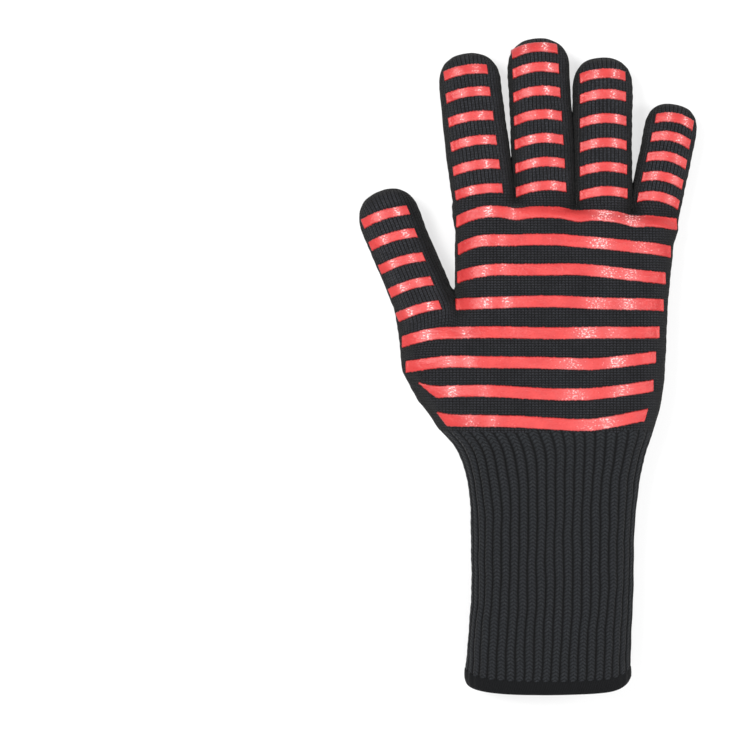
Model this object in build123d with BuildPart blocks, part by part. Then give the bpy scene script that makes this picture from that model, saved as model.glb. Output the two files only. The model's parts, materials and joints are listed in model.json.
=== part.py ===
from build123d import *

import os
from math import cos, pi, radians, sin, sqrt
from typing import NamedTuple

os.makedirs("parts", exist_ok=True)

# Heat resistant glove for the left hand, lying flat on its back.
# Millimetres. +Y runs to the fingertips, -X to the thumb, +Z up out of the palm.

# Cloth and rubber
wall = 2.4  # knitted shell
liner_wall = 1.2
liner_gap = 0.2  # between the shell and its liner
stripe_height = 0.7  # rubber standing proud of the knit
bend_gap = 0.3  # left between two pieces that bend against each other

# Knitted sleeve from the finger roots to the end of the cuff: (y, left, right, thickness)
crotch_y = 84.0
sleeve = [
    (crotch_y, -38.6, 79.6, 24.0),
    (64.0, -38.2, 76.0, 28.5),
    (30.0, -38.6, 71.6, 32.0),
    (-10.0, -39.2, 70.4, 33.5),
    (-41.0, -38.4, 62.8, 33.0),
    (-56.0, -32.2, 58.0, 32.5),
    (-78.0, -30.0, 55.2, 32.0),
    (-125.0, -29.6, 54.4, 32.0),
    (-163.4, -32.0, 53.6, 32.0),
]
side_facets = 6  # flats that round each side of the sleeve
hem_length = 6.4
hem_extra = 0.7  # how much the folded hem stands out all round
back_height = max(stripe_height, hem_extra)  # the knit's back clears the table by its rubber and hem

# Wrist bend, between the palm and the cuff
wrist_y = -41.4
wrist_forward = 40.0
wrist_back = 25.0
wrist_depth = 13.0  # bend line below the palm's face

# Stalls: where the first bend crosses each one's centre line, its lean towards the thumb, its width,
# its rubber's pitch, the rows on each of its pieces, and its reach from the last bend to the tip
index_x, index_y = -24.4, 97.7
index_lean = 6.6
index_width = 30.8
index_pitch = 12.65
index_rows = (1, 2, 2)
index_reach = 26.7
middle_x, middle_y = 7.9, 98.4
middle_lean = 2.6
middle_width = 30.8
middle_pitch = 12.3
middle_rows = (2, 2, 2)
middle_reach = 22.4
ring_x, ring_y = 38.8, 95.3
ring_lean = 0.0
ring_width = 29.6
ring_pitch = 12.55
ring_rows = (1, 2, 2)
ring_reach = 26.6
pinkie_x, pinkie_y = 68.1, 91.5
pinkie_lean = -11.0
pinkie_width = 26.8
pinkie_pitch = 10.6
pinkie_rows = (1, 1, 2)
pinkie_reach = 23.6
thumb_x, thumb_y = -54.6, 35.6
thumb_lean = 22.5
thumb_width = 33.0
thumb_pitch = 13.2
thumb_rows = (2, 2)
thumb_reach = 32.6
finger_bends = (70.0, 75.0, 45.0)  # degrees towards the palm, from the knuckle on
pinkie_bends = (60.0, 70.0, 45.0)
thumb_bends = (55.0, 65.0)

finger_thickness = 23.0
pinkie_thickness = 21.0
thumb_thickness = 25.0
stall_bevel = 6.8  # flat that takes off each of a stall's long edges
bevel_growth = 2 - sqrt(2)  # how fast a 45 degree bevel widens as its solid grows all round
root_length = 30.0  # how far a stall runs back into the palm
bend_depth = 3.2  # bend line below a stall's palm face

# Ball of the thumb, from the thumb's first bend back into the heel: (distance, width, thickness)
thumb_ball = [
    (12.0, thumb_width, thumb_thickness),
    (-4.0, thumb_width, thumb_thickness),
    (-34.0, 45.0, 30.0),
    (-70.0, 32.0, 30.0),
]

# Rubber stripes
stall_stripe = 4.7  # width along the stall
stall_stripe_span = 21.5  # length across the stall
palm_stripe = 5.8
palm_stripe_pitch = 15.6
palm_stripe_count = 8
palm_stripe_top = 79.4  # centre line of the one nearest the fingers
palm_stripe_margin = 2.2  # bare knit left at the side of the hand
web_y = 26.0  # above this the palm's rows stop short of the thumb
stall_side_gap = 8.0  # bare knit left round a stall's side, between palm and back

up = Vector(0, 0, 1)
tall = 400.0  # longer than the glove, for cutting right through


class Bend(NamedTuple):
    """A hinge line across the glove; forward points from the piece before it to the one after."""

    at: Vector
    forward: Vector
    inward: float  # degrees towards the palm
    outward: float  # degrees towards the back


class Stall(NamedTuple):
    name: str
    x: float
    y: float
    lean: float
    width: float
    thickness: float
    pitch: float
    rows: tuple  # stripes on each piece
    reach: float
    bends: tuple  # degrees at the start of each piece

    @property
    def frame(self):
        """Its own plane: origin at the first bend, mid thickness; local Y along the stall."""
        turn = radians(self.lean)
        middle = back_height + self.thickness / 2
        return Plane((self.x, self.y, middle), x_dir=(cos(turn), sin(turn), 0), z_dir=up)

    @property
    def stations(self):
        """Distance of each bend from the first one, along the stall."""
        places = [0.0]
        for row_count in self.rows[:-1]:
            places.append(places[-1] + row_count * self.pitch)
        return places

    @property
    def length(self):
        return self.stations[-1] + self.reach

    @property
    def pieces(self):
        return ("base", "middle", "tip") if len(self.rows) == 3 else ("base", "tip")


stalls = [
    Stall("index", index_x, index_y, index_lean, index_width, finger_thickness, index_pitch,
          index_rows, index_reach, finger_bends),
    Stall("middle", middle_x, middle_y, middle_lean, middle_width, finger_thickness, middle_pitch,
          middle_rows, middle_reach, finger_bends),
    Stall("ring", ring_x, ring_y, ring_lean, ring_width, finger_thickness, ring_pitch,
          ring_rows, ring_reach, finger_bends),
    Stall("pinkie", pinkie_x, pinkie_y, pinkie_lean, pinkie_width, pinkie_thickness, pinkie_pitch,
          pinkie_rows, pinkie_reach, pinkie_bends),
    Stall("thumb", thumb_x, thumb_y, thumb_lean, thumb_width, thumb_thickness, thumb_pitch,
          thumb_rows, thumb_reach, thumb_bends),
]
thumb = stalls[-1]


def stall_bends(stall):
    """Fingers bend about lines along X, so that neighbours pass; the thumb bends square to itself."""
    frame = stall.frame
    forward = frame.y_dir if stall is thumb else Vector(0, 1, 0)
    height = stall.thickness / 2 - bend_depth
    return [
        Bend(frame.from_local_coords(Vector(0, station, height)), forward, angle, 0.0)
        for station, angle in zip(stall.stations, stall.bends)
    ]


def sleeve_at(y):
    """Left edge, right edge and thickness of the sleeve at y, on straight lines between stations."""
    for upper, lower in zip(sleeve, sleeve[1:]):
        if lower[0] <= y <= upper[0]:
            share = (upper[0] - y) / (upper[0] - lower[0])
            return [a + share * (b - a) for a, b in zip(upper[1:], lower[1:])]
    raise ValueError("the sleeve doesn't reach that far")


def flat_oval(width, thickness, mode=Mode.ADD):
    """Section of a flattened tube: two half rounds in side_facets flats each, joined by straights."""
    radius = thickness / 2
    reach = width / 2 - radius
    corners = [
        (side * (reach + radius * sin(pi * step / side_facets)), side * radius * cos(pi * step / side_facets))
        for side in (1, -1)
        for step in range(side_facets + 1)
    ]
    return Polygon(*corners, align=None, mode=mode)


wrist_left, wrist_right, wrist_thickness = sleeve_at(wrist_y)
wrist = Bend(
    Vector((wrist_left + wrist_right) / 2, wrist_y, back_height + wrist_thickness - wrist_depth),
    Vector(0, -1, 0),
    wrist_forward,
    wrist_back,
)


def end_at(bend, before):
    """Cuts the open part back to one side of a bend, by half of the bend's angle each way."""
    side = bend.forward if before else -bend.forward
    inward, outward = radians(bend.inward / 2), radians(bend.outward / 2)
    for normal in (
        side * cos(inward) + up * sin(inward),
        side * cos(outward) - up * sin(outward),
    ):
        split(bisect_by=Plane(bend.at - normal * bend_gap / 2, z_dir=normal), keep=Keep.BOTTOM)


def stall_body(stall, inset):
    """Whole stall, closed at the tip: its plan drawn with a round end, then padded out both ways."""
    half = stall.width / 2 - inset
    shoulder = stall.length - stall.width / 2
    depth = stall.thickness / 2 - inset
    with BuildPart() as body:
        with BuildSketch(stall.frame):
            with BuildLine():
                Polyline((half, shoulder), (half, -root_length), (-half, -root_length), (-half, shoulder))
                ThreePointArc((-half, shoulder), (0, shoulder + half), (half, shoulder))
            make_face()
        extrude(amount=depth, both=True)
        rims = body.edges().group_by(Axis.Z)
        chamfer(rims[0] + rims[-1], stall_bevel - inset * bevel_growth)
    return body.part


def sleeve_body(inset):
    """The hand and cuff as one flattened tube, its back level with the table."""
    with BuildPart() as body:
        for y, left, right, thickness in sleeve:
            middle = ((left + right) / 2, y, back_height + thickness / 2)
            with BuildSketch(Plane(middle, x_dir=(1, 0, 0), z_dir=(0, 1, 0))):
                flat_oval(right - left - 2 * inset, thickness - 2 * inset)
        loft(ruled=True)
    return body.part


def thumb_ball_body(inset):
    frame = thumb.frame
    with BuildPart() as body:
        for distance, width, thickness in thumb_ball:
            lift = (thickness - thumb.thickness) / 2
            middle = frame.from_local_coords(Vector(0, distance, lift))
            with BuildSketch(Plane(middle, x_dir=frame.x_dir, z_dir=frame.y_dir)):
                flat_oval(width - 2 * inset, thickness - 2 * inset)
        loft(ruled=True)
    return body.part


def hand_body(inset, ended):
    """Palm, ball of the thumb and stall roots in one; ended at every bend, or left running on."""
    with BuildPart() as body:
        add(sleeve_body(inset))
        if ended:
            end_at(wrist, before=True)
    with BuildPart() as ball:
        add(thumb_ball_body(inset))
        if ended:
            end_at(stall_bends(thumb)[0], before=True)
    roots = []
    for stall in stalls[:-1]:
        with BuildPart() as root:
            add(stall_body(stall, inset))
            if ended:
                end_at(stall_bends(stall)[0], before=True)
        roots.append(root.part)
    with BuildPart() as hand:
        add(body.part)
        add(ball.part)
        add(roots)
    return hand.part


def ball_plan():
    """Plan of the thumb's ball, up its outer side and back down its inner side."""
    sides = [
        [thumb.frame.from_local_coords(Vector(side * width / 2, distance, 0)) for distance, width, _ in thumb_ball]
        for side in (-1, 1)
    ]
    return [(point.X, point.Y) for point in sides[0] + sides[1][::-1]]


def stripe_field():
    """Where rubber is laid on the hand: rows across its plan, short of the sides, and one row per root."""
    palm_stations = [station for station in sleeve if station[0] > wrist_y - palm_stripe_pitch]
    with BuildPart() as field:
        with BuildSketch():
            with BuildLine():
                Polyline(
                    *[(right, y) for y, left, right, thickness in palm_stations],
                    *[(left, y) for y, left, right, thickness in reversed(palm_stations)],
                    close=True,
                )
            make_face()
            with BuildLine():
                Polyline(*ball_plan(), close=True)
            make_face()
            with Locations((sleeve[0][1], web_y)):
                Rectangle(tall, tall, align=(Align.MAX, Align.MIN), mode=Mode.SUBTRACT)
            offset(amount=-palm_stripe_margin)
            with BuildSketch(mode=Mode.INTERSECT):
                for row in range(palm_stripe_count):
                    with Locations((0, palm_stripe_top - row * palm_stripe_pitch)):
                        Rectangle(tall, palm_stripe)
        for stall in stalls:
            with BuildSketch(stall.frame):
                with Locations((0, -stall.pitch / 2)):
                    Rectangle(stall_stripe_span, stall_stripe)
        extrude(amount=tall, both=True)
    return field.part


def save(part, name):
    part.label = name
    export_step(part, f"parts/{name}.step")


# Hand
liner_outset = wall + liner_gap
hand_outside = hand_body(0, ended=True)
with BuildPart() as palm_shell:
    add(hand_outside)
    add(hand_body(wall, ended=False), mode=Mode.SUBTRACT)
save(palm_shell.part, "palm_shell")

with BuildPart() as palm_liner:
    add(hand_body(liner_outset, ended=True))
    add(hand_body(liner_outset + liner_wall, ended=False), mode=Mode.SUBTRACT)
save(palm_liner.part, "palm_liner")

with BuildPart() as hand_stripes:
    add(hand_body(-stripe_height, ended=True))
    add(hand_outside, mode=Mode.SUBTRACT)
    add(stripe_field(), mode=Mode.INTERSECT)
mid_height = back_height + finger_thickness / 2
for name, faces_palm in (("palm_stripes", True), ("back_stripes", False)):
    with BuildPart() as one_side:
        add(hand_stripes.solids().filter_by(lambda solid: (solid.center().Z > mid_height) == faces_palm))
    save(one_side.part, name)

# Cuff
with BuildPart() as cuff:
    add(sleeve_body(0))
    add(sleeve_body(wall), mode=Mode.SUBTRACT)
    end_at(wrist, before=False)
save(cuff.part, "cuff")

with BuildPart() as cuff_liner:
    add(sleeve_body(liner_outset))
    add(sleeve_body(liner_outset + liner_wall), mode=Mode.SUBTRACT)
    end_at(wrist, before=False)
save(cuff_liner.part, "cuff_liner")

end_y, end_left, end_right, end_thickness = sleeve[-1]
end_middle = ((end_left + end_right) / 2, end_y, back_height + end_thickness / 2)
with BuildPart() as cuff_hem:
    with BuildSketch(Plane(end_middle, x_dir=(1, 0, 0), z_dir=(0, -1, 0))):
        flat_oval(end_right - end_left + 2 * hem_extra, end_thickness + 2 * hem_extra)
        flat_oval(end_right - end_left - 2 * wall, end_thickness - 2 * wall, mode=Mode.SUBTRACT)
    extrude(amount=hem_length)
save(cuff_hem.part, "cuff_hem")

# Stalls
for stall in stalls:
    outside = stall_body(stall, 0)
    inside = stall_body(stall, wall)
    liner_outside = stall_body(stall, liner_outset)
    liner_inside = stall_body(stall, liner_outset + liner_wall)
    rubber = stall_body(stall, -stripe_height)
    bends = stall_bends(stall)
    for index, piece in enumerate(stall.pieces):
        with BuildPart() as shell:
            add(outside)
            add(inside, mode=Mode.SUBTRACT)
            end_at(bends[index], before=False)
            if piece != "tip":
                end_at(bends[index + 1], before=True)
        save(shell.part, f"{stall.name}_{piece}_shell")
        with BuildPart() as liner:
            add(liner_outside)
            add(liner_inside, mode=Mode.SUBTRACT)
            end_at(bends[index], before=False)
            if piece != "tip":
                end_at(bends[index + 1], before=True)
        save(liner.part, f"{stall.name}_{piece}_liner")
        with BuildPart() as stripes:
            with BuildSketch(stall.frame):
                for row in range(stall.rows[index]):
                    with Locations((0, stall.stations[index] + (row + 0.5) * stall.pitch)):
                        Rectangle(stall_stripe_span, stall_stripe)
            extrude(amount=tall, both=True)
            add(rubber, mode=Mode.INTERSECT)
            add(outside, mode=Mode.SUBTRACT)
            with BuildSketch(stall.frame):
                Rectangle(tall, tall)
            extrude(amount=stall_side_gap / 2, both=True, mode=Mode.SUBTRACT)
            end_at(bends[index], before=False)
            if piece != "tip":
                end_at(bends[index + 1], before=True)
        save(stripes.part, f"{stall.name}_{piece}_stripes")
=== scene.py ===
# Heat resistant knitted glove with rubber grip bars, lying open on its back
import json
import math

import bpy
import numpy as np
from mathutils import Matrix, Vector


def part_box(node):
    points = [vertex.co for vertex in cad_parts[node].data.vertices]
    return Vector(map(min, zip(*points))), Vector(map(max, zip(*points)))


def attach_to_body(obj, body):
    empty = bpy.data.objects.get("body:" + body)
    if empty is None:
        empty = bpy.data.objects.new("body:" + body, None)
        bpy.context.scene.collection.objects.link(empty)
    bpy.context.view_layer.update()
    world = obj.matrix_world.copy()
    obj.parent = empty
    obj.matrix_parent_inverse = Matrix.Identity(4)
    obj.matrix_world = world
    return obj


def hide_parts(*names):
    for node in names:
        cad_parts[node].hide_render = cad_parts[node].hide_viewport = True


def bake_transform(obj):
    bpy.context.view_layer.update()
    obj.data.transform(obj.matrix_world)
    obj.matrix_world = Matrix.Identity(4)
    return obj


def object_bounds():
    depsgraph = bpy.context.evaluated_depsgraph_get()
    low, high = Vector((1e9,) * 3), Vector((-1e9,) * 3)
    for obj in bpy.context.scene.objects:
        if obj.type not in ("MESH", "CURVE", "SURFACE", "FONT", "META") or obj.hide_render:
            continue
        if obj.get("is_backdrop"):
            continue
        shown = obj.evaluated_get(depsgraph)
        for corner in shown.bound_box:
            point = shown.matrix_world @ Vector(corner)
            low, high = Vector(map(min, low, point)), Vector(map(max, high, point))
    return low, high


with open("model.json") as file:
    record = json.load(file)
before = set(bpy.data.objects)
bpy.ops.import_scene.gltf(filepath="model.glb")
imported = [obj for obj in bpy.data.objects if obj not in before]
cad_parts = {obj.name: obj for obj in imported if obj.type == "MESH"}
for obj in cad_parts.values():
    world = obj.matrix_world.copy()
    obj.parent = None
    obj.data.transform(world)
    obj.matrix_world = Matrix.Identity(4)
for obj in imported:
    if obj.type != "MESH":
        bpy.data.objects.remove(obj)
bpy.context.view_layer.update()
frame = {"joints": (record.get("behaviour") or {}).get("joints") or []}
mm = 0.001
joints = {joint["name"]: joint for joint in frame["joints"]}


def jointPoint(name):
    return np.array(joints[name]["pos_m"]) / mm


def nodeBox(name):
    return [np.array(corner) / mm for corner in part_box(name)]


def smoothStep(value, low, high):
    t = np.clip((value - low) / (high - low), 0, 1)
    return t * t * (3 - 2 * t)


def softMin(a, b, reach):
    overlap = np.clip(reach - np.abs(a - b), 0, None) / reach
    return np.minimum(a, b) - overlap * overlap * reach / 4


# shape of the knit, in millimetres

hand = {
    "crown": 2.6,  # how much lower the sides are than the middle of the palm
    "sideRound": 0.44,  # side radius as a share of the thickness
    "knuckleLine": (82.4, -0.10),  # where the palm ends: height at x = 0, slope
    "knuckleRound": 4.5,
    "parting": 2.6, "webAt": 85.0,  # how far beyond that line two fingers part; y at which their gap's x is taken
    "fingerWeb": 5.5,  # how far the knit fills in between finger and palm
    "thumbWeb": (1.0, 16.0),  # the same for the thumb, at its crotch and at its heel
    "apart": 6,  # how steeply neighbouring fingers stop seeing each other above their crotch
    "tableTop": 0.75,  # the knit's back lies this high, on its rubber
    "tableSoft": 1.5,
    "evenness": 9.0, "evenReach": 24,  # smoothing along the sleeve's stations
    "thumbWebRun": (-34, -6),  # along the thumb, where its web goes from one to the other
    "stations": [  # y, left, right, thickness
        (100.0, -38.2, 77.2, 22.5),
        (84.0, -38.2, 76.9, 24.5),
        (64.0, -38.5, 75.9, 28.5),
        (30.0, -38.6, 71.8, 32.0),
        (-10.0, -39.2, 71.0, 33.5),
        (-34.0, -38.6, 65.6, 33.2),
        (-48.0, -35.4, 59.8, 32.6),
        (-62.0, -31.4, 57.0, 32.2),
        (-80.0, -30.1, 55.0, 32.0),
        (-125.0, -30.3, 53.9, 32.0),
        (-163.4, -33.6, 52.3, 32.0),
        (-175.0, -34.0, 52.0, 32.0),
    ],
}

stalls = {  # millimetres, and each stall's rubber bars
    # span: a bar's length on the tip and at the root; shift: how far it lies across
    # lift: how far it lies along (tip bar, others); droop: how far its ends hang; tilt: how far they slant
    # rows: bars on each piece; pitch: from bar to bar; swing: how the cloth leans from the line of its joints
    # aside: how far it lies beside that line; flare: how it fattens to its root
    "index": {
        "width": 32.2, "pitch": 12.65, "rows": (1, 2, 2), "span": (22.4, 24.3), "shift": (-1.6, -2.9),
        "lift": (-1.5, -0.5), "droop": 1.3, "tilt": 0.2, "swing": -0.016, "flare": 0.8,
    },
    "middle": {
        "width": 32.2, "pitch": 12.3, "rows": (2, 2, 2), "span": (23.2, 25.6), "shift": (-2.2, -2.2),
        "lift": (-1.7, 0.2), "droop": 1.9, "tilt": 0.6, "flare": 0.6,
    },
    "ring": {
        "width": 31.2, "pitch": 12.55, "rows": (1, 2, 2), "span": (23.2, 24.4), "shift": (-0.9, -0.4),
        "lift": (-1.2, 0.6), "droop": 1.8, "tilt": 0.5,
    },
    "pinkie": {
        "width": 27.2, "pitch": 10.6, "rows": (1, 1, 2), "span": (19.7, 21.4), "shift": (0.5, 0.2),
        "lift": (0.0, 0.65), "droop": 2.2, "tilt": 0.0,
    },
    "thumb": {
        "width": 31.9, "pitch": 13.2, "rows": (2, 2), "span": (24.3, 24.0), "shift": (-1.9, -5.3),
        "lift": (0.2, 1.2), "droop": 1.2, "tilt": -1.3, "aside": -1.1,
    },
}
fingers = ["index", "middle", "ring", "pinkie"]
stallForm = {
    "fullness": 2.35,  # 2 is an oval section, more is squarer
    "tipRound": 1.02,  # length of the rounded tip for its half width
    "narrowing": 0.78, "narrow": (-42, -24),  # a finger's root inside the palm, and from where to where it widens
    "flareFrom": 48, "flareTo": 8,
    "rootStart": 16, "rootRound": 14,  # where the root is rounded off inside the palm
    "tipMargin": 0.4,  # the stall reaches this far past its CAD shell
}
thumbBall = [  # distance along the thumb from its knuckle, width, thickness
    (-78.0, 26.0, 27.0),
    (-66.0, 35.9, 30.0),
    (-50.0, 45.0, 30.5),
    (-32.0, 48.3, 30.0),
    (-12.0, 36.9, 26.5),
    (0.0, 31.9, 25.0),
]

for name, stall in stalls.items():
    bends = ["knuckle", "tip_bend"] if name == "thumb" else ["knuckle", "middle_bend", "tip_bend"]
    stall["pieces"] = ["base", "tip"] if name == "thumb" else ["base", "middle", "tip"]
    stall["joints"] = [f"{name}_{kind}" for kind in bends]
    points = np.array([jointPoint(joint) for joint in stall["joints"]])
    heading = (points[-1] - points[0])[:2]
    heading = heading + (stall.get("swing", 0) * heading[1], 0)
    stall["heading"] = heading / np.linalg.norm(heading)
    stall["side"] = np.array([stall["heading"][1], -stall["heading"][0]])
    stall["origin"] = points[0][:2] + stall.get("aside", 0) * stall["side"]
    stall["places"] = (points[:, :2] - points[0][:2]) @ stall["heading"]
    low, high = nodeBox(f"{name}_base_shell")
    stall["middle"], stall["half"] = (low[2] + high[2]) / 2, (high[2] - low[2]) / 2
    radius = stall["width"] / 2
    tipTop = nodeBox(f"{name}_tip_shell")[1][1] + stallForm["tipMargin"]
    stall["length"] = (tipTop - radius - points[0][1]) / stall["heading"][1] + radius

sleeveY = np.arange(-176.0, 101.0)
evenReach = hand["evenReach"]
kernel = np.exp(-0.5 * (np.arange(-evenReach, evenReach + 1) / hand["evenness"]) ** 2)
kernel /= kernel.sum()
sleeveTable = []
for column in (1, 2, 3):
    stations = sorted(hand["stations"])
    line = np.interp(sleeveY, [s[0] for s in stations], [s[column] for s in stations])
    sleeveTable.append(np.convolve(np.pad(line, evenReach, mode="edge"), kernel, mode="valid"))
ballColumns = np.array(thumbBall).T


def ballAt(along):
    width, thickness = (np.interp(along, ballColumns[0], column) for column in ballColumns[1:])
    return width, thickness


def palmEnd(x):
    height, slope = hand["knuckleLine"]
    return height + slope * x


def sleeveAt(y):
    left, right, thickness = (np.interp(y, sleeveY, column) for column in sleeveTable)
    return (left + right) / 2, (right - left) / 2, thickness


def sleeveField(p):
    x, y, z = p.T
    middle, half, thickness = sleeveAt(y)
    across = np.abs(x - middle)
    depth = thickness / 2 - hand["crown"] * np.clip(across / half, 0, 1) ** 2
    side = hand["sideRound"] * thickness
    qx = np.clip(across - half + side, 0, None)
    qz = np.abs(z - hand["tableTop"] - thickness / 2) * side / depth
    qy = np.clip(y - palmEnd(x) + hand["knuckleRound"], 0, None) * side / hand["knuckleRound"]
    return np.sqrt(qx * qx + qy * qy + qz * qz) - side


def stallLocal(p, stall):
    offset = p[:, :2] - stall["origin"]
    return offset @ stall["side"], offset @ stall["heading"]


def stallField(p, name):
    stall = stalls[name]
    across, along = stallLocal(p, stall)
    if name == "thumb":
        halfWidth, halfDepth = (size / 2 for size in ballAt(along))
        middle = hand["tableTop"] + halfDepth
        rootEnd = ballColumns[0][0] + stallForm["rootRound"]
    else:
        narrowing = stallForm["narrowing"]
        halfWidth = stall["width"] / 2 * (narrowing + (1 - narrowing) * smoothStep(along, *stallForm["narrow"]))
        flare = smoothStep(-along, -stallForm["flareFrom"], -stallForm["flareTo"])
        halfWidth = halfWidth + stall.get("flare", 0) * flare
        halfDepth, middle = stall["half"], stall["middle"]
        rootEnd = -stallForm["rootStart"]
    back = np.clip(rootEnd - along, 0, None) / stallForm["rootRound"]
    tip = halfWidth * stallForm["tipRound"]
    q = [
        np.abs(across) / halfWidth,
        np.abs(p[:, 2] - middle) / halfDepth,
        np.clip(along - stall["length"] + tip, 0, None) / tip + back,
    ]
    power = stallForm["fullness"]
    reach = sum(value ** power for value in q) ** (1 / power) + 1e-9
    slope = reach ** (1 - power) * np.sqrt(
        (q[0] ** (power - 1) / halfWidth) ** 2
        + (q[1] ** (power - 1) / halfDepth) ** 2
        + (q[2] ** (power - 1) / tip) ** 2
    )
    return (reach - 1) / np.maximum(slope, 0.02)


ripples = {"slow": 0.32, "fine": 0.1, "cross": 0.16}  # how uneven the cloth lies


def unevenness(p):
    x, y, z = p.T
    slow = ripples["slow"] * np.sin(x / 9.3 + 1.4 * np.sin(y / 23)) * np.sin(y / 12.1 + z / 9)
    fine = ripples["fine"] * np.sin(y / 0.78 + 1.3 * np.sin(x / 3.1)) * np.sin(x / 4.4 + z / 2.9)
    return slow + fine + ripples["cross"] * np.sin((x + y) / 5.2 + 1) * np.sin((x - 1.7 * y) / 8.3)


def webLine(index, y):  # x of the middle between two fingers
    ahead, behind = stalls[fingers[index]], stalls[fingers[index + 1]]
    edges = []
    for stall, sign in ((ahead, 1), (behind, -1)):
        run = (y - stall["origin"][1]) / stall["heading"][1]
        edges.append(stall["origin"][0] + run * stall["heading"][0] + sign * stall["width"] / 2 / stall["heading"][1])
    return (edges[0] + edges[1]) / 2


crotches = [1000.0, 1000.0, 1000.0]


def gloveField(p, cell=None):
    y = p[:, 1]
    nearest = np.full(len(p), 99.0)
    for index, name in enumerate(fingers):
        distance = stallField(p, name)
        if cell is not None:  # above its crotch a finger's cloth only sees its own finger
            apart = np.zeros(len(p))
            for web in range(3):
                between = (cell <= web) != (index <= web)
                wall = np.clip((y - crotches[web]) * hand["apart"], 0, 99)
                apart = np.where(between, np.maximum(apart, wall), apart)
            distance = distance + apart
        nearest = np.minimum(nearest, distance)
    thumb = stalls["thumb"]
    along = stallLocal(p, thumb)[1]
    low, high = hand["thumbWeb"]
    thumbReach = high + (low - high) * smoothStep(along, *hand["thumbWebRun"])
    field = softMin(sleeveField(p), nearest, hand["fingerWeb"])
    field = softMin(field, stallField(p, "thumb"), thumbReach) + unevenness(p)
    return -softMin(-field, p[:, 2] - hand["tableTop"], hand["tableSoft"])


def gradient(p, cell=None, step=0.25):
    result = np.zeros_like(p)
    for axis in range(3):
        shift = np.zeros(3)
        shift[axis] = step
        result[:, axis] = (gloveField(p + shift, cell) - gloveField(p - shift, cell)) / (2 * step)
    return result


def settle(p, cell=None, rounds=4):
    for _ in range(rounds):
        slope = gradient(p, cell)
        move = (gloveField(p, cell) / np.maximum((slope * slope).sum(1), 0.05))[:, None] * slope
        length = np.linalg.norm(move, axis=1, keepdims=True)
        p = p - move * np.minimum(1, 1.0 / np.maximum(length, 1e-9))
    slope = gradient(p, cell)
    return p, slope / np.maximum(np.linalg.norm(slope, axis=1, keepdims=True), 1e-9)


for web in range(3):  # two fingers part just beyond the end of the palm
    crotches[web] = palmEnd(webLine(web, hand["webAt"])) + hand["parting"]
print("fingers part at", [round(y, 1) for y in crotches])

# ribs of the wrist and cuff, fading in under the palm's last rubber bar

cuff = {
    "ribs": 44, "perRib": 8, "ribDepth": 0.95, "rowStep": 1.5,
    "ribTop": -25.0, "ribFull": -47.0,  # where the ribs start to show, and where they are full
    "top": -32.6, "wristEnd": -55.0, "bottom": -163.6,
    "tuck": 0.25, "tuckRun": 5,  # how far the ribbed piece starts under the palm's knit
    "crest": 0.62,  # below 1 the ribs are fat and their gutters narrow
    "wander": ((0.07, 17, 0.35), (0.035, 5.3, 0.9)),  # sideways sway in ribs: size, length, change from rib to rib
    "bendReach": 8.5,  # the wrist's bend starts and ends this far from its axis
    "pitch": 4.7,  # girth of one rib
    "cornerRun": 22,  # how far up the corners' rise is felt
    "cornerRise": {"left": (3.0, 3, 2.2, 26), "right": (2.0, 2, 4.2, 8)},  # two curves a side: height, power
}


def ribFade(y):
    return smoothStep(-y, -cuff["ribTop"], -cuff["ribFull"])


def clothDistance(starts, headings, reach, halvings):
    # how far from each start, inside the glove, its outer face lies
    near, far = np.zeros(len(starts)), np.full(len(starts), reach)
    for _ in range(halvings):
        half = (near + far) / 2
        within = gloveField(starts + headings * half[:, None]) < 0
        near, far = np.where(within, half, near), np.where(within, far, half)
    return near


def runAlong(line):
    return np.concatenate([[0], np.cumsum(np.linalg.norm(np.diff(line, axis=0), axis=1))])


sections = {"rays": 720, "reach": 75.0, "halvings": 18}


def sleeveRings(ys, around):
    # walks each section of the sleeve at even steps of its girth
    rays = sections["rays"]
    angles = np.linspace(0, 2 * np.pi, rays + 1)[:-1]
    middle, _, thickness = sleeveAt(ys)
    centre = np.column_stack([middle, ys, hand["tableTop"] + thickness / 2])
    ray = np.column_stack([np.cos(angles), np.zeros(rays), np.sin(angles)])
    starts, headings = np.repeat(centre, rays, 0), np.tile(ray, (len(ys), 1))
    distance = clothDistance(starts, headings, sections["reach"], sections["halvings"])
    rings = (starts + headings * distance[:, None]).reshape(len(ys), rays, 3)
    even = []
    for ring in rings:
        closed = np.vstack([ring, ring[:1]])
        girth = runAlong(closed)
        share = np.linspace(0, girth[-1], around + 1)[:-1]
        even.append(np.column_stack([np.interp(share, girth, closed[:, axis]) for axis in range(3)]))
    return np.array(even)


def ribWander(place, y):
    slow, quick = (size * np.sin(y / length + place * change) for size, length, change in cuff["wander"])
    return place + slow + quick


def ribCrest(place):
    return np.abs(np.sin(np.pi * place)) ** cuff["crest"]


# one surface over the whole hand, its fingers spread while it is meshed so that none fuse

meshing = {"step": 1.35, "gap": 3.6, "rise": 4.0, "wristCut": -34.5, "margin": 5, "below": 3}


def closeFingers(spreadX, y):
    x, cell = spreadX.copy(), np.zeros(len(y), int)
    outside, shift = np.zeros(len(y)), np.zeros(len(y))
    for web in range(3):
        line = webLine(web, y)
        width = meshing["gap"] * np.clip((y - crotches[web]) / meshing["rise"], 0, 1)
        near, far = line + shift, line + shift + width
        inside = (spreadX > near) & (spreadX < far)
        outside = np.where(inside, np.minimum(spreadX - near, far - spreadX), outside)
        x = np.where(inside, line, np.where(spreadX >= far, spreadX - shift - width, x))
        cell = np.where(spreadX > (near + far) / 2, web + 1, cell)
        shift = shift + width
    return x, cell, outside


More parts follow.
